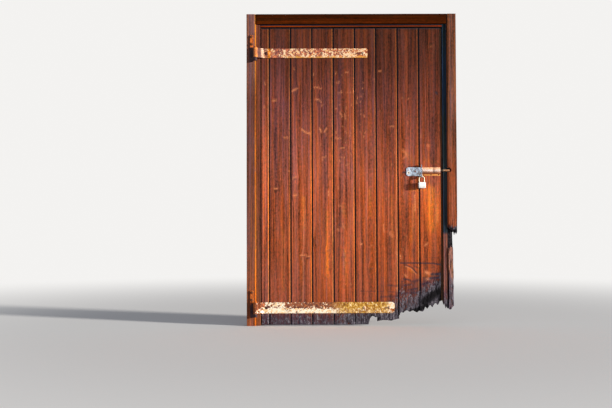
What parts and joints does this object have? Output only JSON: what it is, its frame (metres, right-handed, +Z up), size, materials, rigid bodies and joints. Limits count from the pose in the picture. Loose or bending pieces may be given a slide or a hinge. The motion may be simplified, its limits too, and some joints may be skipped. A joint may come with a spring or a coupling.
{
  "type": "barn door",
  "caption": "Side-hung ledged and braced board door in a timber frame, with cranked strap hinges, a sliding bolt and a padlock; rotted at the foot on the lock side.",
  "frame": {"origin": "on the ground in the middle of the doorway, in the middle of the overall depth", "axes": "+Z up, +X to the right seen from outside, -Y towards the outside"},
  "size_m": [1.393, 0.1287, 2.068],
  "materials": {
    "post_wood": "dark worn stain",
    "head_wood": "dark worn stain",
    "lining_wood": "worn stain",
    "stop_wood": "plain sawn",
    "board_wood": "red-brown stain, weathered",
    "ledge_wood": "plain sawn",
    "strap_paint": "flaking cream paint over rust",
    "hook_iron": "dark paint worn to rust",
    "fastener_iron": "rusty",
    "guide_paint": "cream paint over rust",
    "rod_steel": "tarnished and rusty",
    "tail_zinc": "galvanised, dull",
    "shackle_steel": "plated",
    "lock_metal": "silvery",
    "lock_brass": "plain brass"
  },
  "bodies": {
    "frame": {"left_post": "post_wood", "right_post": "post_wood", "head": "head_wood", "left_lining": "lining_wood", "right_lining": "lining_wood", "head_lining": "lining_wood", "left_stop": "stop_wood", "right_stop": "stop_wood", "head_stop": "stop_wood", "top_hook": "hook_iron", "bottom_hook": "hook_iron", "hook_screws": "fastener_iron"},
    "leaf": {"top_ledge": "ledge_wood", "middle_ledge": "ledge_wood", "bottom_ledge": "ledge_wood", "lower_brace": "ledge_wood", "upper_brace": "ledge_wood", "top_strap": "strap_paint", "bottom_strap": "strap_paint", "top_strap_bolts": "fastener_iron", "bottom_strap_bolts": "fastener_iron", "bolt_plate": "guide_paint", "bolt_keepers": "guide_paint", "board_1": "board_wood", "board_2": "board_wood", "board_3": "board_wood", "board_4": "board_wood", "board_5": "board_wood", "board_6": "board_wood", "board_7": "board_wood", "board_8": "board_wood", "board_9": "board_wood"},
    "bolt": {"bolt_rod": "rod_steel", "bolt_tail": "tail_zinc"},
    "padlock": {"shackle": "shackle_steel", "lock_body": "lock_metal", "lock_cylinder": "lock_brass"}
  },
  "joints": [
    {"name": "door_swing", "type": "hinge", "parent": "frame", "child": "leaf", "pos_m": [-0.636, -0.0491, 0], "axis": [0, 0, -1], "range_deg": [0, 170]},
    {"name": "bolt_slide", "type": "slide", "parent": "leaf", "child": "bolt", "axis": [-1, 0, 0], "range_m": [0, 0.06]},
    {"name": "padlock_swing", "type": "hinge", "parent": "bolt", "child": "padlock", "pos_m": [0.461, -0.033, 0.983], "axis": [-1, 0, 0], "range_deg": [0, 90]}
  ]
}
